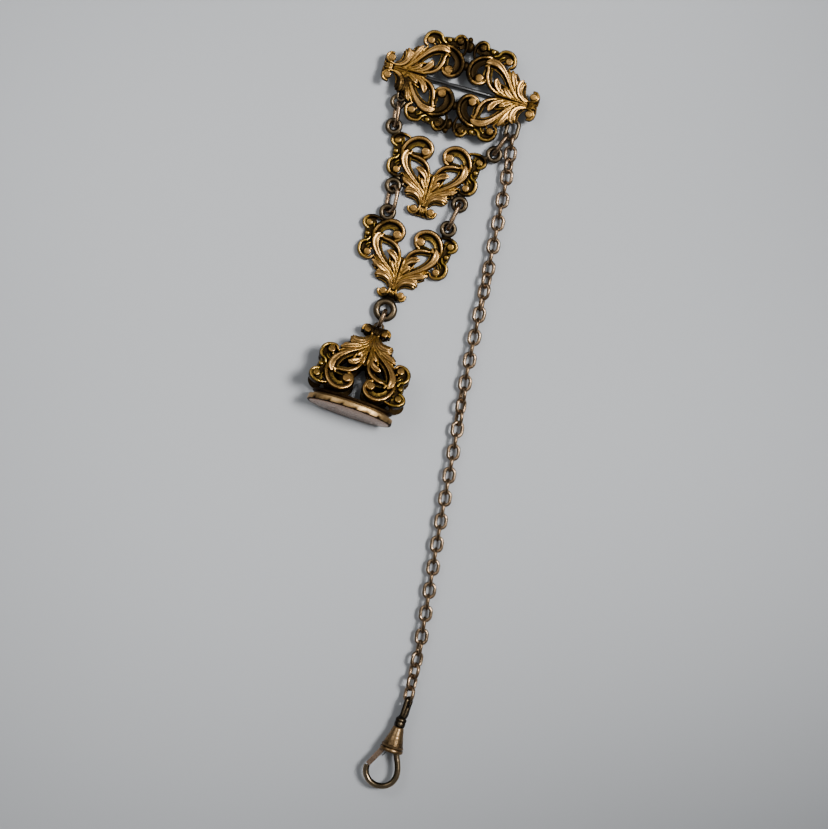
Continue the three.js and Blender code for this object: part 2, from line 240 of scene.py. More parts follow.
metalDefaults = {
    "patchScale": 420.0, "grainScale": 2600.0, "trimShare": 0.0, "highShare": 0.85, "trim": (0.4, 0.3, 0.1),
    "grime": 0.4, "tarnishRough": 0.22, "grainRough": 0.12, "rough": 0.22, "bump": 0.3,
}
metalLooks = {
    "stampedGold": {
        "slot": "stamped_gold",
        "body": (0.335, 0.170, 0.028), "bodyPatch": (0.40, 0.215, 0.052), "high": (0.47, 0.255, 0.080),
        "trim": (0.33, 0.225, 0.030), "tarnishAndShade": (0.018, 0.0105, 0.0038), "trimShare": 0.6,
    },
    "darkSolder": {
        "slot": "dark_solder",
        "body": (0.036, 0.026, 0.016), "bodyPatch": (0.080, 0.058, 0.033), "high": (0.21, 0.150, 0.085),
        "tarnishAndShade": (0.008, 0.006, 0.004), "grime": 0.6, "rough": 0.24,
    },
    "ringGold": {
        "slot": "ring_gold",
        "body": (0.155, 0.095, 0.050), "bodyPatch": (0.225, 0.145, 0.082), "high": (0.38, 0.26, 0.165),
        "tarnishAndShade": (0.020, 0.012, 0.006), "grime": 0.6, "rough": 0.17,
    },
    "chainGold": {
        "slot": "chain_gold",
        "body": (0.13, 0.080, 0.042), "bodyPatch": (0.19, 0.122, 0.068), "high": (0.34, 0.23, 0.140),
        "tarnishAndShade": (0.016, 0.009, 0.005), "grime": 0.65, "rough": 0.19,
    },
    "sealGold": {
        "slot": "seal_gold",
        "body": (0.215, 0.098, 0.036), "bodyPatch": (0.175, 0.078, 0.028), "high": (0.29, 0.140, 0.055),
        "tarnishAndShade": (0.030, 0.015, 0.006), "grime": 0.3, "rough": 0.2, "bump": 0.1,
    },
    "rimGold": {
        "slot": "seal_gold",
        "body": (0.34, 0.205, 0.080), "bodyPatch": (0.29, 0.170, 0.062), "high": (0.46, 0.290, 0.125),
        "tarnishAndShade": (0.010, 0.005, 0.002), "grime": 0.12, "rough": 0.3, "bump": 0.15,
    },
    "barrelBrass": {
        "slot": "barrel_brass",
        "body": (0.15, 0.088, 0.036), "bodyPatch": (0.21, 0.128, 0.056), "high": (0.28, 0.18, 0.088),
        "tarnishAndShade": (0.018, 0.009, 0.004), "grime": 0.6, "rough": 0.27,
    },
    "hookGold": {
        "slot": "hook_gold",
        "body": (0.18, 0.128, 0.070), "bodyPatch": (0.25, 0.175, 0.100), "high": (0.40, 0.295, 0.185),
        "tarnishAndShade": (0.014, 0.009, 0.004), "grime": 0.3, "rough": 0.13, "bump": 0.12,
    },
    "gateGold": {
        "slot": "hook_gold",
        "body": (0.24, 0.150, 0.098), "bodyPatch": (0.31, 0.205, 0.14), "high": (0.44, 0.31, 0.215),
        "tarnishAndShade": (0.016, 0.009, 0.006), "grime": 0.45, "rough": 0.22,
    },
    "pinSteel": {
        "slot": "pin_steel",
        "body": (0.10, 0.098, 0.095), "bodyPatch": (0.16, 0.155, 0.15), "high": (0.28, 0.28, 0.28),
        "tarnishAndShade": (0.025, 0.020, 0.016), "grime": 0.45, "rough": 0.24,
    },
}
metals = {name: agedMetal(name, {**metalDefaults, **look}) for name, look in metalLooks.items()}
print("materials made:", len(metals))


def stepBetween(values, low, high):
    share = np.clip((values - low) / (high - low), 0.0, 1.0)
    return share * share * (3 - 2 * share)


shadeAndWearSettings = {"spreadRounds": 10, "most": 1.3}


def paintShadeAndWear(piece, shadeAndWearAt):
    # the function passed in, called with (places, normals, hollow), gives tarnish with painted shade, rubbed
    # tops with painted highlight, and trim, one value for each vertex
    mesh = piece.data
    count = len(mesh.vertices)
    places = np.empty(count * 3)
    mesh.vertices.foreach_get("co", places)
    places = places.reshape(-1, 3)
    normals = np.empty(count * 3)
    mesh.vertex_normals.foreach_get("vector", normals)
    normals = normals.reshape(-1, 3)
    edges = np.empty(len(mesh.edges) * 2, dtype=np.int64)
    mesh.edges.foreach_get("vertices", edges)
    edges = edges.reshape(-1, 2)
    near = np.bincount(edges.ravel(), minlength=count).clip(1)
    spread = places.copy()
    for _ in range(shadeAndWearSettings["spreadRounds"]):
        total = np.zeros((count, 3))
        for axis in range(3):
            total[:, axis] = (np.bincount(edges[:, 0], spread[edges[:, 1], axis], count)
                              + np.bincount(edges[:, 1], spread[edges[:, 0], axis], count))
        spread = total / near[:, None]
    # hollow: how far a vertex lies below its smoothed neighbours, used for painted shade in hollows
    hollow = ((spread - places) * normals).sum(axis=1)
    red, green, blue = shadeAndWearAt(places, normals, hollow)
    colours = np.ones((count, 4), dtype=np.float32)
    for channel, values in enumerate((red, green, blue)):
        colours[:, channel] = np.clip(values, 0.0, shadeAndWearSettings["most"])
    attribute = mesh.attributes.new("wearAndShade", "FLOAT_COLOR", "POINT")
    attribute.data.foreach_set("color", colours.ravel())


# The openwork stamping, drawn flat at 1 mm to the unit: foot at the origin, ears towards +Y.
# A stroke is a list of points (x, y, height of its crest, half width) for the right half.

strokeSections = {
    "rim": [(-1.35, -1.9), (-1, -0.8), (-0.9, -0.42), (-0.7, -0.16), (-0.38, -0.03), (0, 0),
            (0.38, -0.03), (0.7, -0.16), (0.9, -0.42), (1, -0.8), (1.35, -1.9)],
    "blade": [(-1.25, -1.6), (-1, -0.5), (-0.94, -0.2), (-0.8, -0.02), (-0.55, 0.0), (-0.28, -0.07),
              (0, -0.1), (0.28, -0.07), (0.55, 0.0), (0.8, -0.02), (0.94, -0.2), (1, -0.5), (1.25, -1.6)],
    "vein": [(-1.25, -1.6), (-1, -0.5), (-0.93, -0.18), (-0.75, 0.0), (-0.4, -0.03), (-0.14, -0.16),
             (0, -0.3), (0.14, -0.16), (0.4, -0.03), (0.75, 0.0), (0.93, -0.18), (1, -0.5), (1.25, -1.6)],
    "floor": [(-1.2, -0.5), (-1, 0.06), (-0.5, -0.06), (0, -0.1), (0.5, -0.06), (1, 0.06), (1.2, -0.5)],
}

stamping = {
    "floorLevel": 0.22,
    "voxel": 0.085,
    "keepShare": 0.36,
    "strokes": [
        # ear scroll: crest, and the wide trough inside it
        ("rim", [(8.7, 12.2, 1.5, 0.26), (8.75, 13.3, 1.8, 0.36), (8.3, 14.9, 1.95, 0.43),
                 (7.1, 16.55, 2.05, 0.48), (5.0, 17.5, 2.1, 0.50), (2.9, 17.0, 2.1, 0.49),
                 (1.8, 15.75, 2.05, 0.46), (1.75, 14.3, 2.0, 0.42), (2.4, 13.2, 1.8, 0.36),
                 (3.3, 12.95, 1.5, 0.26)]),
        ("floor", [(7.9, 12.8, 0.95, 0.6), (7.5, 14.4, 1.0, 0.75), (6.5, 15.7, 1.0, 0.85),
                   (5.0, 16.4, 1.0, 0.9), (3.5, 16.0, 1.0, 0.85), (2.6, 15.1, 0.95, 0.7),
                   (2.7, 13.9, 0.95, 0.6)]),
        ("floor", [(2.1, 12.9, 0.85, 0.55), (3.3, 13.3, 0.9, 0.55), (4.6, 13.45, 0.9, 0.4),
                   (6.2, 13.3, 0.9, 0.35)]),
        # arch above the opening
        ("rim", [(0.62, 8.3, 1.45, 0.28), (1.0, 9.9, 1.75, 0.34), (1.85, 11.35, 1.95, 0.40),
                 (3.1, 12.25, 2.0, 0.44), (4.6, 12.7, 1.95, 0.42), (5.9, 12.8, 1.8, 0.34),
                 (6.6, 13.3, 1.75, 0.3), (6.2, 13.9, 1.65, 0.25)]),
        ("floor", [(1.3, 9.9, 0.85, 0.5), (2.0, 10.9, 0.9, 0.5), (3.2, 11.7, 0.9, 0.5),
                   (4.6, 12.1, 0.9, 0.5), (6.3, 12.2, 0.9, 0.5)]),
        # big outer leaf with a bright outer edge, and the two ribs under it
        ("blade", [(7.2, 13.9, 1.85, 0.22), (7.6, 13.1, 2.1, 0.68), (7.8, 11.95, 2.25, 0.88),
                   (7.55, 10.7, 2.25, 0.84), (6.8, 9.45, 2.15, 0.68), (5.6, 8.2, 2.0, 0.50),
                   (4.1, 7.0, 1.85, 0.42), (2.4, 5.75, 1.7, 0.34), (1.0, 4.4, 1.5, 0.26),
                   (0.35, 3.0, 1.35, 0.18)]),
        ("rim", [(7.2, 8.8, 1.35, 0.16), (5.7, 7.35, 1.6, 0.25), (3.9, 6.1, 1.6, 0.26),
                 (2.1, 4.8, 1.55, 0.24), (0.8, 3.4, 1.4, 0.18)]),
        ("rim", [(7.4, 8.1, 1.3, 0.14), (6.1, 7.05, 1.5, 0.18), (4.6, 6.15, 1.5, 0.18),
                 (3.1, 5.2, 1.4, 0.15)]),
        ("floor", [(6.7, 12.6, 0.95, 0.45), (6.6, 11.2, 0.95, 0.5), (6.15, 10.1, 0.95, 0.48),
                   (5.3, 8.9, 0.95, 0.45), (4.1, 7.8, 0.95, 0.45), (2.8, 6.8, 0.9, 0.42)]),
        # inner leaf, lower inner leaf, and the ground between them
        ("vein", [(0.62, 5.2, 1.4, 0.18), (0.85, 6.8, 1.6, 0.32), (1.25, 8.15, 1.85, 0.48),
                  (2.0, 9.2, 2.05, 0.70), (2.95, 9.8, 2.15, 0.84), (3.75, 10.05, 2.1, 0.6),
                  (4.3, 10.0, 1.95, 0.2)]),
        ("vein", [(0.6, 4.3, 1.35, 0.18), (0.85, 5.5, 1.6, 0.40), (1.35, 6.55, 1.8, 0.60),
                  (1.95, 7.35, 1.9, 0.54), (2.4, 7.95, 1.75, 0.16)]),
        ("floor", [(0.6, 4.2, 0.85, 0.5), (1.2, 6.2, 0.85, 0.7), (2.0, 7.8, 0.85, 0.8),
                   (2.9, 8.7, 0.8, 0.6)]),
        ("rim", [(1.6, 5.6, 1.2, 0.16), (2.5, 6.9, 1.35, 0.22), (3.0, 8.0, 1.3, 0.2),
                 (3.2, 8.9, 1.1, 0.14)]),
        # upper hanging leaf and its lobes
        ("blade", [(0.9, 3.7, 1.35, 0.2), (2.3, 4.7, 1.6, 0.38), (3.7, 5.4, 1.85, 0.58),
                   (5.1, 6.0, 2.0, 0.66), (6.3, 6.5, 1.95, 0.52), (7.15, 6.95, 1.8, 0.22)]),
        ("blade", [(3.6, 5.2, 1.5, 0.25), (4.7, 5.45, 1.8, 0.48), (5.35, 5.75, 1.7, 0.28)]),
        ("blade", [(5.0, 5.8, 1.6, 0.25), (6.0, 5.95, 1.85, 0.46), (6.65, 6.3, 1.75, 0.26)]),
        # lower hanging leaf, its lobes and the bright lip under it
        ("blade", [(0.8, 0.9, 1.45, 0.22), (0.88, 2.0, 1.65, 0.36), (1.35, 3.05, 1.85, 0.50),
                   (2.2, 3.85, 2.05, 0.62), (3.4, 4.2, 2.15, 0.66), (4.5, 4.15, 2.1, 0.62),
                   (5.2, 3.8, 1.95, 0.46), (5.5, 3.4, 1.75, 0.2)]),
        ("blade", [(3.4, 4.6, 1.6, 0.25), (4.5, 4.75, 1.85, 0.48), (5.3, 4.5, 1.75, 0.28)]),
        ("rim", [(0.95, 1.3, 1.4, 0.16), (1.35, 2.45, 1.6, 0.24), (2.3, 3.2, 1.7, 0.27),
                 (3.5, 3.45, 1.7, 0.27), (4.6, 3.2, 1.65, 0.24), (5.25, 2.95, 1.45, 0.16)]),
        ("floor", [(1.1, 1.6, 0.8, 0.45), (1.9, 2.6, 0.8, 0.55), (3.2, 3.1, 0.8, 0.6),
                   (4.7, 3.1, 0.8, 0.5)]),
        ("floor", [(1.2, 3.9, 0.9, 0.6), (3.0, 4.9, 0.9, 0.7), (5.2, 5.3, 0.9, 0.7),
                   (6.6, 6.2, 0.9, 0.6)]),
        # foot volute
        ("rim", [(0.78, 2.0, 1.4, 0.2), (0.86, 1.0, 1.6, 0.26), (1.05, 0.1, 1.7, 0.28),
                 (1.6, -0.75, 1.7, 0.28), (2.5, -1.0, 1.65, 0.28), (3.4, -0.45, 1.55, 0.26),
                 (3.55, 0.6, 1.45, 0.22)]),
        ("floor", [(0, -0.75, 0.9, 0.6), (1.5, -0.5, 0.85, 0.9), (2.6, -0.1, 0.85, 1.1)]),
        ("rim", [(0.0, -1.0, 1.35, 0.15), (0.0, -0.2, 1.6, 0.18), (0.0, 0.9, 1.5, 0.15)]),
        ("rim", [(0.5, -1.0, 1.35, 0.15), (0.46, -0.3, 1.55, 0.18), (0.4, 0.8, 1.45, 0.15)]),
        # stem: a ridge each side of a channel
        ("rim", [(0.2, 1.2, 1.3, 0.16), (0.32, 4.0, 1.55, 0.22), (0.43, 6.5, 1.65, 0.25),
                 (0.5, 8.6, 1.65, 0.25), (0.55, 9.5, 1.5, 0.18)]),
        ("floor", [(0, 0, 1.0, 0.35), (0, 4.0, 1.0, 0.4), (0, 7.0, 1.0, 0.4), (0, 9.6, 0.95, 0.35)]),
        # side trim: ground, upper scroll, lower scroll
        ("floor", [(9.0, 16.5, 0.95, 0.8), (10.4, 15.9, 0.95, 1.1), (9.9, 13.9, 0.95, 1.15),
                   (9.8, 12.2, 0.95, 1.1), (9.3, 10.6, 0.95, 0.9)]),
        ("rim", [(7.6, 17.0, 1.4, 0.22), (9.1, 17.35, 1.6, 0.30), (10.6, 17.2, 1.75, 0.34),
                 (11.7, 16.4, 1.8, 0.36), (12.0, 15.3, 1.8, 0.35), (11.3, 14.35, 1.75, 0.32),
                 (10.3, 14.05, 1.65, 0.28)]),
        ("rim", [(9.3, 12.3, 1.35, 0.22), (9.7, 11.3, 1.6, 0.30), (10.9, 10.5, 1.75, 0.36),
                 (11.25, 9.15, 1.8, 0.40), (10.75, 7.75, 1.8, 0.40), (9.35, 6.95, 1.8, 0.38),
                 (8.0, 7.05, 1.75, 0.34), (7.45, 7.9, 1.6, 0.28)]),
        ("rim", [(8.6, 10.9, 1.15, 0.18), (9.35, 10.4, 1.3, 0.2), (9.8, 9.7, 1.25, 0.17)]),
        ("floor", [(9.3, 10.9, 0.9, 1.0), (10.0, 9.8, 0.9, 1.0), (9.8, 8.6, 0.9, 1.2),
                   (8.6, 7.9, 0.9, 1.0)]),
    ],
    # knobs: x, y, radius, height of the top, share of the radius that is left before the flat top
    "knobs": [
        (3.1, 14.5, 1.18, 2.1, 0.62), (2.2, 0.2, 1.0, 1.9, 0.62), (8.95, 8.35, 1.0, 1.95, 0.6),
        (10.55, 15.5, 0.92, 1.85, 0.6), (10.3, 12.75, 0.7, 1.75, 0.85), (9.0, 13.9, 0.36, 1.55, 0.9),
        (6.9, 13.0, 0.46, 1.85, 0.85), (8.3, 9.3, 0.34, 1.5, 0.9),
    ],
}


def sectionCurve(name, points):
    curve = bpy.data.curves.new(name, "CURVE")
    curve.dimensions = "2D"
    spline = curve.splines.new("POLY")
    spline.points.add(len(points) - 1)
    for point, (x, y) in zip(spline.points, points):
        point.co = (x, y, 0, 1)
    section = bpy.data.objects.new(name, curve)
    bpy.context.scene.collection.objects.link(section)
    return section


def drawCurve(rows, smoothness=5):
    bpy.ops.curve.primitive_bezier_curve_add()
    line = bpy.context.object
    curve = line.data
    curve.dimensions = "3D"
    curve.twist_mode = "Z_UP"
    curve.resolution_u = smoothness
    spline = curve.splines[0]
    spline.bezier_points.add(len(rows) - 2)
    spline.radius_interpolation = "CARDINAL"
    for point, (x, y, z, radius) in zip(spline.bezier_points, rows):
        point.handle_left_type = "AUTO"
        point.handle_right_type = "AUTO"
        point.co = (x, y, z)
        point.radius = radius
    return line


def reliefStroke(section, rows, floorLevel):
    line = drawCurve(rows)
    line.data.bevel_mode = "OBJECT"
    line.data.bevel_object = section
    pick(line)
    bpy.ops.object.convert(target="MESH")
    stroke = bpy.context.object
    editWhere(stroke, lambda at: at.z < floorLevel)
    bpy.ops.transform.resize(value=(1, 1, 0), center_override=(0, 0, floorLevel))
    bpy.ops.mesh.select_all(action="SELECT")
    bpy.ops.mesh.extrude_region_move(TRANSFORM_OT_translate={"value": (0, 0, -1)})
    bpy.ops.transform.resize(value=(1, 1, 0), center_override=(0, 0, 0))
    bpy.ops.mesh.select_all(action="SELECT")
    bpy.ops.mesh.normals_make_consistent(inside=False)
    leaveEdit()
    return stroke


def reliefKnob(x, y, radius, top, flatFrom):
    middle = top - radius * flatFrom
    bpy.ops.mesh.primitive_uv_sphere_add(segments=28, ring_count=18, radius=radius, location=(x, y, middle))
    knob = bpy.context.object
    bpy.ops.object.transform_apply(location=True)
    editWhere(knob, lambda at: at.z > top)
    bpy.ops.transform.resize(value=(1, 1, 0), center_override=(x, y, top))
    leaveEdit()
    editWhere(knob, lambda at: at.z < 0.02)
    bpy.ops.transform.resize(value=(1, 1, 0), center_override=(x, y, 0.02))
    leaveEdit()
    return knob


def stampingShadeAndWear(places, normals, hollow):
    height = places[:, 2]
    up = normals[:, 2]
    across = np.abs(places[:, 0])
    # painted shade on top of tarnish: troughs, steep walls and hollows are darkened as if in shade
    deep = 1 - stepBetween(height, 0.85, 1.5)
    steep = 1 - stepBetween(up, 0.25, 0.85)
    hollowShade = stepBetween(hollow, 0.0, 0.08)
    tarnishAndShade = np.maximum(0.84 * deep, 1.1 * steep * (1 - 0.35 * stepBetween(height, 1.3, 2.1))) + 0.6 * hollowShade
    # rubbed crests lighter where they face up: wear and a painted highlight
    rubbedSheen = stepBetween(height, 1.55, 2.05) * stepBetween(up, 0.75, 0.97)
    trim = np.maximum(stepBetween(across, 8.6, 9.6), deep * stepBetween(places[:, 1], 11.0, 12.0) * 0.8)
    return tarnishAndShade, rubbedSheen, trim


def makeStamping():
    sections = {name: sectionCurve(name, points) for name, points in strokeSections.items()}
    parts = [reliefStroke(sections[kind], rows, stamping["floorLevel"]) for kind, rows in stamping["strokes"]]
    parts += [reliefKnob(*row) for row in stamping["knobs"]]
    half = joinAll(parts)
    other = copyOf(half)
    pick(other)
    bpy.ops.transform.resize(value=(-1, 1, 1), center_override=(0, 0, 0))
    bpy.ops.object.transform_apply(location=False, rotation=False, scale=True)
    editAll(other)
    bpy.ops.mesh.flip_normals()
    leaveEdit()
    whole = joinAll([other, half])
    useModifier(whole, "REMESH", mode="VOXEL", voxel_size=stamping["voxel"], use_smooth_shade=True)
    useModifier(whole, "SMOOTH", factor=0.5, iterations=3)
    useModifier(whole, "DECIMATE", ratio=stamping["keepShare"])
    mendNormals(whole)
    paintShadeAndWear(whole, stampingShadeAndWear)
    for section in sections.values():
        bpy.data.objects.remove(section)
    return whole


stampingMaster = makeStamping()
print("stamping faces:", len(stampingMaster.data.polygons))

seal = {
    "foot": (-3.4, -64.85), "turn": -2.8, "tilt": 12.1, "splay": 9.0, "gap": 0.35, "back": 1.45,
    "baseLength": 21.9, "baseWidth": 12.6, "stepTop": 18.1,
    # foot step, waist, swelling rim, recess: depth under the top, shares of the base's length and width
    "rimSteps": [(0.0, 0.94, 0.74), (0.5, 0.94, 0.74), (0.75, 0.90, 0.70), (1.15, 0.90, 0.70),
                 (1.5, 0.985, 0.975), (1.65, 1.0, 1.0), (2.85, 1.0, 1.0), (3.05, 0.99, 0.985),
                 (3.1, 0.965, 0.945), (2.45, 0.955, 0.93)],
    "plate": {"length": 20.75, "width": 11.4, "start": 20.6, "thick": 0.62, "bevel": 0.12},
    "eye": (0.15, 1.75, 0), "eyeAcross": 2.95, "eyeWire": 0.74,
    "eyeBlob": (0.15, 0.45, 0, (0.9, 0.45, 0.5)),
}
sealPlace = (Matrix.Translation((*seal["foot"], (seal["gap"] + seal["back"] + 0.05)
                                 * math.cos(math.radians(seal["tilt"])) + 0.1))
             @ Matrix.Rotation(math.radians(seal["turn"]), 4, "Z")
             @ Matrix.Rotation(math.radians(-seal["tilt"]), 4, "X"))
leafPlace = (Matrix.Translation((0, 1.5, 0)) @ Matrix.Rotation(math.radians(-seal["splay"]), 4, "X")
             @ Matrix.Translation((0, -1.5, seal["gap"])) @ Matrix.Rotation(math.pi, 4, "Z"))
backPlace = Matrix.Rotation(math.pi, 4, "Y") @ leafPlace @ Matrix.Diagonal((1, 1, 0.62, 1))
upperPlace = turnAndMove(-0.8, -32.3, 0)
lowerPlace = turnAndMove(-2.4, -54.2, 0, -1.6)

stampingPlaces = [
    ("broochLeft", "brooch", "brooch_stamping_left", turnAndMove(-18.4, 0, broochBackZ, -90)),
    ("broochRight", "brooch", "brooch_stamping_right", turnAndMove(18.4, 0, broochBackZ, 90)),
    ("upperPanel", "upper_panel", "upper_panel", upperPlace),
    ("lowerPanel", "lower_panel", "lower_panel", lowerPlace),
    ("sealFront", "seal", "seal_stamping_front", sealPlace @ leafPlace),
    ("sealBack", "seal", "seal_stamping_back", sealPlace @ backPlace),
]


def scorch(piece, spots):
    mesh = piece.data
    places = np.empty(len(mesh.vertices) * 3)
    mesh.vertices.foreach_get("co", places)
    places = places.reshape(-1, 3)
    wearAndShade = mesh.attributes["wearAndShade"].data
    colours = np.empty(len(mesh.vertices) * 4, dtype=np.float32)
    wearAndShade.foreach_get("color", colours)
    colours = colours.reshape(-1, 4)
    ragged = 0.12 * np.sin(places[:, 0] * 5.1) * np.sin(places[:, 1] * 4.3 + 1.0)
    for x, y, wide, high, strength in spots:
        away = np.hypot((places[:, 0] - x) / wide, (places[:, 1] - y) / high) + ragged
        burnt = 1.25 * strength * (1 - stepBetween(away, 0.6, 1.1))
        colours[:, 0] = np.maximum(colours[:, 0], burnt * (1 - 0.25 * colours[:, 1]))
        colours[:, 1] *= 1 - 0.5 * burnt
        colours[:, 2] *= 1 - 0.8 * burnt
    wearAndShade.foreach_set("color", colours.ravel())


def solderBlob(x, y, z, size):
    bpy.ops.mesh.primitive_uv_sphere_add(segments=16, ring_count=10, radius=1, location=(x, y, z))
    blob = bpy.context.object
    bpy.ops.object.transform_apply(location=True)
    editAll(blob)
    bpy.ops.transform.resize(value=size, center_override=(x, y, z))
    leaveEdit()
    return blob


def plainShadeAndWear(tarnishAndShade, rubbedSheen):
    def wearAndShade(places, normals, hollow):
        # painted shade: hollows are darkened on top of the given tarnish
        hollowShade = stepBetween(hollow, 0.02, 0.1)
        return tarnishAndShade + 0.6 * hollowShade, np.full(len(places), rubbedSheen), np.zeros(len(places))
    return wearAndShade


# solder that bridges the two halves of the brooch: x, y, z, size
bridgeBlobs = [
    (9.9, 18.1, 1.0, (1.5, 1.0, 0.9)), (5.1, 18.3, 1.1, (1.2, 0.75, 0.8)), (11.6, 17.7, 1.0, (0.8, 0.7, 0.7)),
]


def solderBridges(piece):
    for side in (1, -1):
        for x, y, z, size in bridgeBlobs:
            blob = solderBlob(side * x, y, z, size)
            paintShadeAndWear(blob, plainShadeAndWear(1.0, 0.3))
            piece = joinAll([blob, piece])
    return piece


# places that soldering has blackened: x, y, half width, half height, strength
scorchSpots = {
    "broochLeft": [(7.0, 16.6, 6.5, 3.6, 1.0), (-7.0, 16.6, 6.5, 3.6, 1.0), (0, 18.5, 9, 3.0, 1.0),
                   (4.0, 4.4, 3.6, 2.6, 0.9), (11.0, 9.0, 1.6, 3.0, 0.5)],
    "broochRight": [(7.0, 16.6, 6.5, 3.4, 1.0), (-7.0, 16.6, 6.5, 3.4, 1.0), (0, 18.5, 9, 3.0, 1.0),
                    (-9.5, 7.6, 2.0, 2.0, 0.7), (0.0, 0.0, 2.4, 1.8, 0.6)],
    "upperPanel": [(-11.2, 17.0, 2.6, 1.9, 1.0), (12.0, 16.9, 2.4, 1.8, 1.0), (-8.6, 6.6, 2.4, 1.5, 0.95),
                   (8.5, 6.6, 2.3, 1.4, 0.95), (0.0, -0.6, 3.2, 1.4, 0.6)],
    "lowerPanel": [(-8.6, 17.3, 3.6, 1.9, 1.0), (8.7, 17.6, 2.4, 1.6, 1.0), (0.0, -0.9, 3.0, 1.5, 0.95)],
    "sealFront": [(0.0, -0.6, 3.4, 2.0, 1.0), (0.0, 19.0, 12.5, 1.6, 0.7)],
    "sealBack": [(0.0, -0.6, 3.4, 2.2, 1.0)],
}
for name, body, node, place in stampingPlaces:
    piece = copyOf(stampingMaster)
    if name == "broochLeft":
        piece = solderBridges(piece)
    scorch(piece, scorchSpots[name])
    settle(piece, name, body, "stampedGold", [node], place, smooth=60)
bpy.data.objects.remove(stampingMaster)
print("stampings placed:", len(stampingPlaces))


# Wire rings, links and loops

def wireRing(length, width, wire, around=44, section=14):
    bpy.ops.mesh.primitive_torus_add(
        major_radius=(width - wire) / 2, minor_radius=wire / 2, major_segments=around, minor_segments=section)
    ring = bpy.context.object
    stretch = (length - width) / 2
    for side in (1, -1):
        if stretch > 0:
            editWhere(ring, lambda at: at.y * side > 1e-4)
            bpy.ops.transform.translate(value=(0, side * stretch, 0))
            leaveEdit()
    return ring


def ringShadeAndWear(ends, dark):
    def wearAndShade(places, normals, hollow):
        reach = np.abs(places[:, 1]).max()
        nearEnd = stepBetween(np.abs(places[:, 1]), reach - ends, reach - 0.3 * ends)
        inward = stepBetween(-(normals[:, :2] * places[:, :2]).sum(axis=1), -0.2, 0.9)
        # painted shade: the inner side near each end, where the next link or loop passes, is darkened
        tarnishAndShade = dark + (1 - dark) * nearEnd * inward
        # painted highlight: the flat faces are lighter, except in that shaded inner end
        rubbedSheen = stepBetween(normals[:, 2] ** 2, 0.3, 0.9) * (1 - nearEnd * inward)
        return tarnishAndShade, rubbedSheen, np.zeros(len(places))
    return wearAndShade


panelRings = {
    "across": 4.4, "wire": 1.32, "height": 1.25,
    "bottomAcross": 6.1, "bottomWire": 1.78, "bottomHeight": 1.45,
}


def fuse(pieces, voxel=0.09, keep=0.5):
    whole = joinAll(pieces)
    useModifier(whole, "REMESH", mode="VOXEL", voxel_size=voxel, use_smooth_shade=True)
    useModifier(whole, "SMOOTH", factor=0.5, iterations=4)
    useModifier(whole, "DECIMATE", ratio=keep)
    mendNormals(whole)
    return whole


def ringOnPanel(name, body, node, at, across, wire, blobs, place):
    ring = wireRing(across, across, wire)
    applyPlace(ring, turnAndMove(*at))
    whole = fuse([solderBlob(*blob) for blob in blobs] + [ring])
    paintShadeAndWear(whole, solderShadeAndWear)
    settle(whole, name, body, "darkSolder", [node], place, smooth=60)


def solderShadeAndWear(places, normals, hollow):
    # painted shade darkens hollows, and a painted highlight lightens upward faces, on top of a little tarnish
    hollowShade = stepBetween(hollow, 0.0, 0.06)
    rubbedSheen = stepBetween(normals[:, 2], 0.5, 0.95) * (1 - hollowShade)
    return 0.15 + 0.8 * hollowShade, 0.6 * rubbedSheen, np.zeros(len(places))


small = (panelRings["across"], panelRings["wire"])
large = (panelRings["bottomAcross"], panelRings["bottomWire"])
ringZ = panelRings["height"]
ringRows = [
    ("upperRingTopLeft", "upper_panel", "upper_panel_ring_top_left", (-12.5, 18.5, ringZ), small,
     [(-10.9, 17.25, 1.0, (1.0, 0.6, 0.75))], upperPlace),
    ("upperRingTopRight", "upper_panel", "upper_panel_ring_top_right", (13.5, 18.5, ringZ), small,
     [(11.75, 17.05, 1.0, (0.95, 0.6, 0.75))], upperPlace),
    ("upperRingBottomLeft", "upper_panel", "upper_panel_ring_bottom_left", (-8.6, 4.2, ringZ), small,
     [(-8.3, 6.35, 0.8, (1.2, 0.7, 0.65)), (-6.5, 5.2, 0.8, (0.7, 0.7, 0.6))], upperPlace),
    ("upperRingBottomRight", "upper_panel", "upper_panel_ring_bottom_right", (8.6, 4.2, ringZ), small,
     [(8.3, 6.35, 0.8, (1.2, 0.7, 0.65)), (6.5, 5.2, 0.8, (0.7, 0.7, 0.6))], upperPlace),
    ("lowerRingTopLeft", "lower_panel", "lower_panel_ring_top_left", (-7.05, 19.2, ringZ), small,
     [(-6.9, 17.3, 0.9, (1.3, 0.55, 0.7))], lowerPlace),
    ("lowerRingTopRight", "lower_panel", "lower_panel_ring_top_right", (8.65, 19.65, ringZ), small,
     [(8.7, 17.7, 0.9, (1.2, 0.65, 0.7))], lowerPlace),
    ("lowerRingBottom", "lower_panel", "lower_panel_ring_bottom",
     (-0.3, -4.25, panelRings["bottomHeight"]), large, [(-0.2, -1.35, 1.0, (1.5, 0.5, 0.75))], lowerPlace),
]
for name, body, node, at, (across, wire), blobs, place in ringRows:
    ringOnPanel(name, body, node, at, across, wire, blobs, place)

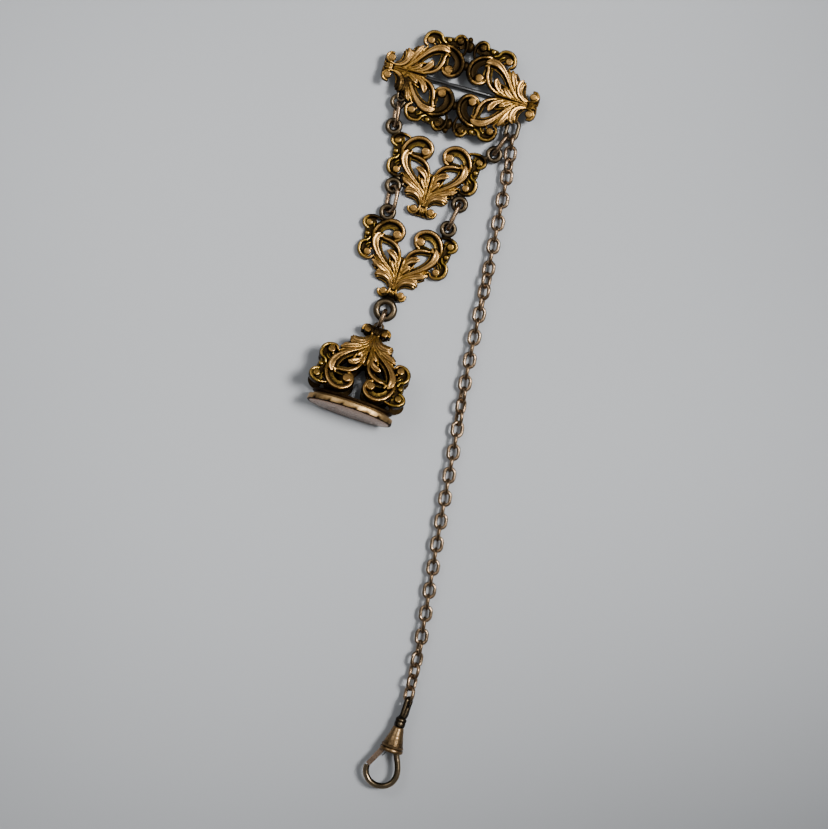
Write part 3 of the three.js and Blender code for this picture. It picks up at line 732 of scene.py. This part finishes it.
# "extra" fills the rings out to their rounded wire
jumpRing = {"size": (4.1, 0.78), "sealSize": (3.7, 0.85), "slack": 0.2, "extra": 0.26}
loops = {
    "left": (-13.9, -7.75, 2.0), "leftAcross": 4.1, "leftWire": 1.14,
    "leftTab": [(-13.9, -6.1, 2.0, 0.4), (-13.8, -4.6, 2.0, 0.5), (-13.7, -3.0, 2.1, 0.6),
                (-13.6, -1.5, 2.2, 0.6)],
    "leftBlob": (-13.9, -5.6, 2.0, (0.9, 0.5, 0.55)),
    "longSize": (6.6, 2.9, 0.78), "longPlace": (-13.5, -4.5, 2.9, 4, -14),
    "right": (15.3, -6.8, 2.0), "rightSize": (6.0, 3.9, 1.12), "rightHole": (14.7, -7.9, 2.0),
    "rightTab": [(15.1, -4.2, 2.0, 0.45), (14.5, -3.3, 2.1, 0.6), (13.9, -2.3, 2.2, 0.6)],
    "rightBlob": (15.0, -4.1, 2.0, (0.9, 0.5, 0.6)),
}


def threadedPlace(start, end, width, wire, centreZ, roll):
    # a stretched ring whose wire passes through two holes, start and end
    radius = (width - wire) / 2
    lean = math.radians(roll)
    across = [(hole[2] - centreZ) / math.sin(lean) for hole in (start, end)]
    reach = [math.sqrt(radius * radius - w * w) for w in across]
    sideways = (across[0] - across[1]) * math.cos(lean)
    apart = Vector((start[0] - end[0], start[1] - end[1]))
    along = math.sqrt(apart.length_squared - sideways * sideways) - 2 * jumpRing["slack"]
    straight = along - reach[0] - reach[1]
    turn = math.atan2(apart.y, apart.x) - math.pi / 2 + math.atan2(sideways, along)
    forward = Vector((-math.sin(turn), math.cos(turn)))
    side = Vector((math.cos(turn), math.sin(turn)))
    centre = (Vector(start[:2]) - forward * (jumpRing["slack"] + reach[0] + straight / 2)
              - side * across[0] * math.cos(lean))
    return straight + width, turnAndMove(centre.x, centre.y, centreZ, math.degrees(turn), -roll)


topLeft = (-13.3, -13.8, ringZ)
topRight = (12.7, -13.8, ringZ)
# name, body, node, the two holes, width and wire, height of the middle, roll
jumpRows = [
    ("jumpRingUpperLeft", "upper_left_ring", "jump_ring_upper_left",
     loops["left"], topLeft, jumpRing["size"], 2.08, 75),
    ("jumpRingUpperRight", "upper_right_ring", "jump_ring_upper_right",
     loops["rightHole"], topRight, jumpRing["size"], 2.08, 90),
    ("jumpRingLowerLeft", "lower_left_ring", "jump_ring_lower_left",
     (-9.4, -28.1, ringZ), (-8.9, -34.8, ringZ), jumpRing["size"], 1.7, 50),
    ("jumpRingLowerRight", "lower_right_ring", "jump_ring_lower_right",
     (7.8, -28.1, ringZ), (6.8, -34.8, ringZ), jumpRing["size"], 2.08, 90),
    ("sealLink", "seal_link", "seal_link",
     (-2.65, -58.5, 1.45), (-3.2, -63.2, 1.6), jumpRing["sealSize"], 1.88, 90),
]
for name, body, node, start, end, (width, wire), centreZ, roll in jumpRows:
    length, place = threadedPlace(start, end, width, wire, centreZ, roll)
    extra = jumpRing["extra"]
    ring = wireRing(length + extra, width + extra, wire + extra, around=64, section=18)
    paintShadeAndWear(ring, ringShadeAndWear(1.0, 0.08))
    settle(ring, name, body, "ringGold", [node], place, smooth=60)
print("rings placed:", len(ringRows) + len(jumpRows))

# Brooch loops, pin and catch


def solidTube(rows, sides=12):
    line = drawCurve(rows, 6)
    line.data.bevel_depth = 1.0
    line.data.bevel_resolution = sides // 4
    line.data.use_fill_caps = True
    pick(line)
    bpy.ops.object.convert(target="MESH")
    tube = bpy.context.object
    mendNormals(tube)
    return tube


leftRing = wireRing(loops["leftAcross"], loops["leftAcross"], loops["leftWire"])
applyPlace(leftRing, turnAndMove(*loops["left"]))
longRing = wireRing(*loops["longSize"])
applyPlace(longRing, turnAndMove(*loops["longPlace"]))
leftLoop = fuse([solidTube(loops["leftTab"]), solderBlob(*loops["leftBlob"]), longRing, leftRing])
paintShadeAndWear(leftLoop, solderShadeAndWear)
settle(leftLoop, "hangingLoopLeft", "brooch", "darkSolder", ["hanging_loop_left"])

rightRing = wireRing(*loops["rightSize"])
applyPlace(rightRing, turnAndMove(*loops["right"]))
rightLoop = fuse([solidTube(loops["rightTab"]), solderBlob(*loops["rightBlob"]), rightRing])
paintShadeAndWear(rightLoop, solderShadeAndWear)
settle(rightLoop, "hangingLoopRight", "brooch", "darkSolder", ["hanging_loop_right"])


def refined(node, name, body, metal, bevel):
    # the framed shape, merged, its edges eased
    piece = copyOf(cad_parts[node])
    for key in list(piece.keys()):
        del piece[key]
    piece.parent = None
    piece.hide_render = False
    editAll(piece)
    bpy.ops.mesh.remove_doubles(threshold=1e-6)
    bpy.ops.mesh.dissolve_limited(angle_limit=math.radians(2))
    leaveEdit()
    useModifier(piece, "BEVEL", width=bevel / 1000, segments=2, limit_method="ANGLE",
                angle_limit=math.radians(40))
    applyPlace(piece, toFrame.inverted())
    paintShadeAndWear(piece, solderShadeAndWear)
    return settle(piece, name, body, metal, [node], smooth=35)


for node, name, body, metal, bevel in [
    ("pin_joint", "pinJoint", "brooch", "darkSolder", 0.06),
    ("pin_catch", "pinCatch", "brooch", "darkSolder", 0.06),
    ("pin_rivet", "pinRivet", "brooch", "pinSteel", 0.06),
    ("pin_stem", "pinStem", "pin", "pinSteel", 0.04),
    ("gate_pin", "gatePin", "swivel", "pinSteel", 0.06),
    ("gate_spring", "gateSpring", "gate", "pinSteel", 0.03),
]:
    refined(node, name, body, metal, bevel)
print("brooch fittings placed")

# Seal: eye, rim and plate


def ovalDisc(length, width, start, thick, bevel, segments=96):
    # an oval slab from start to start + thick along -Y, edges eased
    bpy.ops.mesh.primitive_cylinder_add(vertices=segments, radius=0.5, depth=thick, location=(0, 0, 0))
    disc = bpy.context.object
    editAll(disc)
    bpy.ops.transform.resize(value=(length, width, 1), center_override=(0, 0, 0))
    leaveEdit()
    useModifier(disc, "BEVEL", width=bevel, segments=4, limit_method="ANGLE", angle_limit=math.radians(50))
    applyPlace(disc, Matrix.Translation((0, -start - thick / 2, 0)) @ Matrix.Rotation(math.pi / 2, 4, "X"))
    return disc


def sealRimShape():
    # an oval drawn out step by step, and back in for the recess
    steps = seal["rimSteps"]
    bpy.ops.mesh.primitive_circle_add(vertices=96, radius=0.5, fill_type="NGON")
    rim = bpy.context.object
    editAll(rim)
    length, width = seal["baseLength"], seal["baseWidth"]
    depth, alongX, alongY = steps[0]
    bpy.ops.transform.resize(value=(length * alongX, width * alongY, 1), center_override=(0, 0, 0))
    for (depth, alongX, alongY), (nextDepth, nextX, nextY) in zip(steps, steps[1:]):
        bpy.ops.mesh.extrude_region_move(TRANSFORM_OT_translate={"value": (0, 0, nextDepth - depth)})
        growth = (nextX / alongX, nextY / alongY, 1)
        bpy.ops.transform.resize(value=growth, center_override=(0, 0, nextDepth))
    leaveEdit()
    applyPlace(rim, Matrix.Translation((0, -seal["stepTop"], 0)) @ Matrix.Rotation(math.pi / 2, 4, "X"))
    mendNormals(rim)
    useModifier(rim, "BEVEL", width=0.08, segments=3, limit_method="ANGLE", angle_limit=math.radians(30))
    return rim


def rimShadeAndWear(places, normals, hollow):
    # painted shadow darkens the foot step and painted shade the edge of the recess; the band between them is
    # lighter
    depth = -places[:, 1] - seal["stepTop"]
    ragged = 0.07 * np.sin(places[:, 0] * 1.9) + 0.05 * np.sin(places[:, 0] * 5.3)
    foot = 1.0 * (1 - stepBetween(depth, 0.95, 1.25))
    lip = 1.25 * stepBetween(depth + ragged, 2.80, 2.95)
    rubbedSheen = stepBetween(depth, 1.55, 1.7) * (1 - stepBetween(depth, 2.7, 2.8))
    return np.maximum(foot, lip), 0.8 * rubbedSheen, np.zeros(len(places))


rim = sealRimShape()
paintShadeAndWear(rim, rimShadeAndWear)
settle(rim, "sealRim", "seal", "rimGold", ["seal_rim"], sealPlace, smooth=30)
plate = ovalDisc(**seal["plate"])
paintShadeAndWear(plate, plainShadeAndWear(0.0, 0.0))
settle(plate, "sealPlate", "seal", "sealGold", ["seal_plate"], sealPlace, smooth=30)
eye = wireRing(seal["eyeAcross"], seal["eyeAcross"], seal["eyeWire"])
applyPlace(eye, turnAndMove(*seal["eye"]))
eye = fuse([solderBlob(*seal["eyeBlob"]), eye])
paintShadeAndWear(eye, solderShadeAndWear)
settle(eye, "sealEye", "seal", "darkSolder", ["seal_eye"], sealPlace)
print("seal placed")

# Chain: the links lie along a smooth route, turned in turn flat and upright

chain = {
    "links": 49, "length": 4.46, "width": 3.46, "wire": 0.94, "samples": 2000,
    "route": [(16.1, -9.75, 2.0), (17.2, -18.3, 1.75), (19.1, -40.5, 1.7), (21.4, -71.7, 1.7),
              (23.0, -85.7, 1.7), (25.3, -108.9, 1.7), (28.1, -133.2, 1.7), (28.7, -141.5, 1.9),
              (29.1, -148.6, 2.75)],
    "turns": [(0, 0), (2, 35), (4, 0), (10, 0), (12, 42), (15, 0), (21, 0), (23, -42), (26, 0), (43, 0),
              (46, -45), (48, -45)],
}


def routePoint(share):
    # centripetal curve through the route's points
    points = [Vector(point) for point in chain["route"]]
    last = len(points) - 1
    place = share * last
    k = min(int(place), last - 1)
    local = place - k
    before = points[k - 1] if k > 0 else points[0] * 2 - points[1]
    after = points[k + 2] if k + 2 <= last else points[last] * 2 - points[last - 1]
    p0, p1, p2, p3 = before, points[k], points[k + 1], after
    t0, t1, t2 = ((b - a).length ** 0.5 for a, b in ((p0, p1), (p1, p2), (p2, p3)))
    slopeA = ((p1 - p0) / t0 - (p2 - p0) / (t0 + t1) + (p2 - p1) / t1) * t1
    slopeB = ((p2 - p1) / t1 - (p3 - p1) / (t1 + t2) + (p3 - p2) / t2) * t1
    square, cube = local * local, local ** 3
    return (p1 * (2 * cube - 3 * square + 1) + p2 * (3 * square - 2 * cube)
            + slopeA * (cube - 2 * square + local) + slopeB * (cube - square))


def routeTable():
    points = [routePoint(i / chain["samples"]) for i in range(chain["samples"] + 1)]
    lengths = [0.0]
    for a, b in zip(points, points[1:]):
        lengths.append(lengths[-1] + (b - a).length)
    return np.array(lengths)


routeLengths = routeTable()


def alongRoute(share):
    place = np.interp(share * routeLengths[-1], routeLengths, np.linspace(0, 1, len(routeLengths)))
    return routePoint(float(place))


def linkPlace(link):
    share = link / (chain["links"] - 1)
    at = alongRoute(share)
    step = 0.0001
    forward = (alongRoute(max(share - step, 0)) - alongRoute(min(share + step, 1))).normalized()
    side = forward.cross(Vector((0, 0, 1))).normalized()
    up = side.cross(forward)
    turn = float(np.interp(link, *zip(*chain["turns"]))) + (0 if link % 2 else 90)
    basis = Matrix((side, forward, up)).transposed().to_4x4()
    return Matrix.Translation(at) @ basis @ Matrix.Rotation(math.radians(-turn), 4, "Y")


linkMaster = wireRing(chain["length"], chain["width"], chain["wire"], around=36, section=12)
paintShadeAndWear(linkMaster, ringShadeAndWear(1.1, 0.05))
for link in range(chain["links"]):
    pair = 1 if link == 0 else (link + 3) // 2
    settle(copyOf(linkMaster), f"chainLink{link + 1:02d}", f"chain_{pair:02d}", "chainGold",
           [f"chain_links_{pair:02d}"], linkPlace(link), smooth=60)
bpy.data.objects.remove(linkMaster)
print("chain links placed:", chain["links"])

# Swivel, drawn along -Y from the top of its barrel

swivel = {
    "top": (28.85, -157.2), "turn": -2.6, "height": 3.05, "bowWire": 1.55,
    "barrel": [(0.62, 0.0), (1.28, 0.0), (1.42, -0.2), (1.48, -0.6), (1.88, -2.2), (1.97, -2.35),
               (1.98, -2.55), (2.06, -2.7), (2.62, -4.6), (2.82, -4.78), (2.9, -4.95), (2.85, -5.12),
               (2.72, -5.26), (2.72, -5.40), (2.92, -5.52), (3.0, -5.75), (3.0, -6.0), (2.9, -6.25),
               (2.7, -6.4), (2.4, -6.4), (2.2, -6.1), (2.0, -3.6), (1.3, -1.8), (0.62, -1.7)],
    "collar": [(0.4, 2.4), (1.15, 2.4), (1.38, 2.15), (1.44, 1.8), (1.32, 1.5), (1.36, 1.3), (1.42, 0.9),
               (1.38, 0.4), (1.25, 0.12), (0.45, 0.12), (0.45, -2.1), (1.0, -2.2), (1.0, -2.7),
               (0.4, -2.8)],
    "bow": [(1.25, -3.6), (1.35, -5.0), (1.6, -6.6), (2.6, -8.8), (3.25, -11.0), (3.1, -12.8), (2.1, -14.4),
            (0.1, -15.35), (-1.95, -15.2), (-3.6, -14.1), (-4.4, -12.6), (-4.55, -11.25)],
    "bowMiddle": (-0.75, -11.2),
    "eyeSize": (6.35, 3.1, 1.2), "eyePlace": (0.3, 5.05, 0, 0, 58), "eyeBlob": (0.1, 2.5, 0, (1.1, 0.8, 1.0)),
    "wrapSize": (4.4, 2.7, 1.1), "wrapPlace": (0.35, 4.0, 0, -4, 105),
    "gatePivot": (-1.75, -5.5), "gateTip": (-4.4, -11.05), "gateWidth": 1.06, "gateDepth": 1.35,
    "knuckle": 0.85, "pinHole": 0.42,
}
swivelPlace = turnAndMove(*swivel["top"], swivel["height"], swivel["turn"])


def turnedPiece(profile, closed, around=64):
    # rings of a circle drawn out along the axis, then laid along Y
    radius, along = profile[0]
    bpy.ops.mesh.primitive_circle_add(vertices=around, radius=radius, location=(0, 0, along),
                                      fill_type="NOTHING" if closed else "NGON")
    piece = bpy.context.object
    bpy.ops.object.transform_apply(location=True)
    editAll(piece)
    extrude = bpy.ops.mesh.extrude_edges_move if closed else bpy.ops.mesh.extrude_region_move
    for nextRadius, nextAlong in profile[1:]:
        extrude(TRANSFORM_OT_translate={"value": (0, 0, nextAlong - along)})
        growth = nextRadius / radius
        bpy.ops.transform.resize(value=(growth, growth, 1), center_override=(0, 0, nextAlong))
        radius, along = nextRadius, nextAlong
    leaveEdit()
    if closed:
        # the first and last rings are still open, and are joined to each other
        editWhere(piece, lambda at: False)
        bpy.ops.mesh.select_non_manifold()
        bpy.ops.mesh.bridge_edge_loops()
        leaveEdit()
    mendNormals(piece)
    applyPlace(piece, Matrix.Rotation(-math.pi / 2, 4, "X"))
    return piece


def blackShadeAndWear(places, normals, hollow):
    # dark all over, with painted shade deeper in hollows and a painted highlight on upward faces
    rubbedSheen = stepBetween(normals[:, 2], 0.85, 1.0) * (1 - stepBetween(hollow, -0.02, 0.03))
    return 0.85 + 0.4 * stepBetween(hollow, 0.0, 0.06) - 0.5 * rubbedSheen, 0.8 * rubbedSheen, np.zeros(len(places))


def barrelShadeAndWear(places, normals, hollow):
    hollowShade = stepBetween(hollow, 0.02, 0.10)
    along = places[:, 1]
    groove = stepBetween(along, -5.5, -5.42) * (1 - stepBetween(along, -5.26, -5.15))
    mouth = 1 - stepBetween(along, -6.42, -6.3)
    outward = (normals[:, 0] * places[:, 0] + normals[:, 2] * places[:, 2]) > 0
    inside = np.where(outward, 0.0, 1.0)
    # painted shade darkens the hollows, the groove, the mouth and the inside of the barrel, over a little
    # tarnish
    tarnishAndShade = 0.12 + 0.6 * hollowShade + 0.7 * groove + 0.4 * mouth + 0.9 * inside
    # painted highlight on upward faces
    rubbedSheen = stepBetween(normals[:, 2], 0.6, 0.95)
    return tarnishAndShade, 0.7 * rubbedSheen, np.zeros(len(places))


barrel = turnedPiece(swivel["barrel"], True)
bpy.ops.mesh.primitive_cube_add(size=1)
cutter = bpy.context.object
cutter.scale = (3.2, 3.2, swivel["gateWidth"] + 0.5)
cutter.location = (-2.9, -6.0, 0)
bpy.ops.object.transform_apply(location=True, scale=True)
useModifier(barrel, "BOOLEAN", operation="DIFFERENCE", object=cutter, solver="EXACT")
bpy.data.objects.remove(cutter)
paintShadeAndWear(barrel, barrelShadeAndWear)
settle(barrel, "swivelBarrel", "swivel", "barrelBrass", ["swivel_barrel"],
       swivelPlace, smooth=30)

collar = turnedPiece(swivel["collar"], False)
eyeRing = wireRing(*swivel["eyeSize"])
applyPlace(eyeRing, turnAndMove(*swivel["eyePlace"]))
wrapRing = wireRing(*swivel["wrapSize"])
applyPlace(wrapRing, turnAndMove(*swivel["wrapPlace"]))
swivelEye = fuse([collar, solderBlob(*swivel["eyeBlob"]), wrapRing, eyeRing])
paintShadeAndWear(swivelEye, blackShadeAndWear)
settle(swivelEye, "swivelEye", "swivel_eye", "darkSolder", ["swivel_eye"], swivelPlace)

bow = solidTube([(x, y, 0, swivel["bowWire"] / 2) for x, y in swivel["bow"]], 20)
useModifier(bow, "BEVEL", width=0.25, segments=4, limit_method="ANGLE", angle_limit=math.radians(50))


def bowShadeAndSheen(places, normals, hollow):
    # painted shade darkens the side that faces the middle of the hook, and a painted highlight lightens the
    # upward faces of the outer side
    outX, outY = places[:, 0] - swivel["bowMiddle"][0], places[:, 1] - swivel["bowMiddle"][1]
    away = np.maximum(np.hypot(outX, outY), 0.01)
    inward = -(normals[:, 0] * outX + normals[:, 1] * outY) / away
    rubbedSheen = stepBetween(normals[:, 2], 0.3, 0.9) * (1 - stepBetween(inward, -0.3, 0.2))
    return 0.05 + 0.95 * stepBetween(inward, 0.15, 0.7), 0.6 * rubbedSheen, np.zeros(len(places))


paintShadeAndWear(bow, bowShadeAndSheen)
settle(bow, "swivelHook", "swivel", "hookGold", ["swivel_hook"], swivelPlace, smooth=50)


def gateShape():
    # a flat bar from the pivot to the tip, with a drilled knuckle at the top
    (px, py), (tx, ty) = swivel["gatePivot"], swivel["gateTip"]
    half = swivel["gateWidth"] / 2
    bpy.ops.mesh.primitive_cylinder_add(
        vertices=32, radius=swivel["knuckle"], depth=2 * half, location=(px, py, 0))
    knuckle = bpy.context.object
    bpy.ops.object.transform_apply(location=True)
    bpy.ops.mesh.primitive_cube_add(size=1)
    bar = bpy.context.object
    length = math.hypot(tx - px, ty - py)
    editAll(bar)
    bpy.ops.transform.resize(value=(swivel["gateDepth"], length + 0.15, 2 * half), center_override=(0, 0, 0))
    bpy.ops.mesh.subdivide(number_cuts=5)
    leaveEdit()
    editWhere(bar, lambda at: at.y < -length * 0.3)
    bpy.ops.transform.resize(value=(0.92, 1, 0.95), center_override=(0, 0, 0))
    leaveEdit()
    lean = math.atan2(ty - py, tx - px) + math.pi / 2
    applyPlace(bar, turnAndMove((px + tx) / 2, (py + ty) / 2, 0, math.degrees(lean)))
    bpy.ops.mesh.primitive_cylinder_add(vertices=24, radius=swivel["pinHole"], depth=3, location=(px, py, 0))
    hole = bpy.context.object
    whole = joinAll([knuckle, bar])
    useModifier(whole, "REMESH", mode="VOXEL", voxel_size=0.08, use_smooth_shade=True)
    useModifier(whole, "BOOLEAN", operation="DIFFERENCE", object=hole, solver="EXACT")
    bpy.data.objects.remove(hole)
    useModifier(whole, "SMOOTH", factor=0.5, iterations=3)
    mendNormals(whole)
    return whole


gate = gateShape()
paintShadeAndWear(gate, solderShadeAndWear)
settle(gate, "gate", "gate", "gateGold", ["gate"], swivelPlace, smooth=45)
print("swivel placed")

# Floor, light and camera

view = {"turn": 15.9, "acrossMm": 207.0, "distance": 0.6, "sensor": 36.0, "centreMm": (11.22, -81.52)}
turn = math.radians(view["turn"])
rightward = Vector((math.cos(turn), math.sin(turn), 0))
upward = Vector((-math.sin(turn), math.cos(turn), 0))
centre = broochMiddle + Vector((view["centreMm"][0], view["centreMm"][1], 0)) / 1000
centre.z = 0

camera = bpy.data.objects.new("camera", bpy.data.cameras.new("camera"))
bpy.context.scene.collection.objects.link(camera)
camera.location = centre + Vector((0, 0, view["distance"]))
camera.rotation_euler = (0, 0, turn)
camera.data.sensor_width = view["sensor"]
camera.data.lens = view["sensor"] * view["distance"] * 1000 / view["acrossMm"]
camera.data.clip_start = 0.01
bpy.context.scene.camera = camera

studio = {
    "floorSize": 3.0, "floorColour": (0.465, 0.472, 0.482, 1), "floorRough": 0.75, "floorGloss": 0.2,
    "skyColour": (0.92, 0.96, 1.0, 1), "skyStrength": 0.19, "aimSide": -0.01, "aimUp": 0.035,
}
bpy.ops.mesh.primitive_plane_add(size=studio["floorSize"], location=(0, 0, 0))
floor = bpy.context.object
floor.name = "floor"
floorPaint = bpy.data.materials.new("floorPaint")
floorPaint.use_nodes = True
floorShader = floorPaint.node_tree.nodes["Principled BSDF"]
floorShader.inputs["Base Color"].default_value = studio["floorColour"]
floorShader.inputs["Roughness"].default_value = studio["floorRough"]
floorShader.inputs["Specular IOR Level"].default_value = studio["floorGloss"]
floor.data.materials.append(floorPaint)

lights = {
    "key": {"side": 0.30, "up": 0.10, "height": 0.52, "size": 0.28, "spread": 22, "power": 0.36,
            "colour": (0.985, 0.99, 1.0)},
    "fill": {"side": -0.25, "up": 0.27, "height": 0.50, "size": 0.30, "spread": 90, "power": 0.25,
             "colour": (0.95, 0.97, 1.0)},
}
for name, look in lights.items():
    lamp = bpy.data.lights.new(name, "AREA")
    lamp.size = look["size"]
    lamp.energy = look["power"]
    lamp.spread = math.radians(look["spread"])
    lamp.color = look["colour"]
    holder = bpy.data.objects.new(name, lamp)
    bpy.context.scene.collection.objects.link(holder)
    holder.location = centre + rightward * look["side"] + upward * look["up"] + Vector((0, 0, look["height"]))
    aim = centre + rightward * studio["aimSide"] + upward * studio["aimUp"] - holder.location
    holder.rotation_euler = aim.to_track_quat("-Z", "Y").to_euler()

world = bpy.data.worlds.new("studio")
bpy.context.scene.world = world
world.use_nodes = True
sky = world.node_tree.nodes["Background"]
sky.inputs["Color"].default_value = studio["skyColour"]
sky.inputs["Strength"].default_value = studio["skyStrength"]
print("camera and light set")
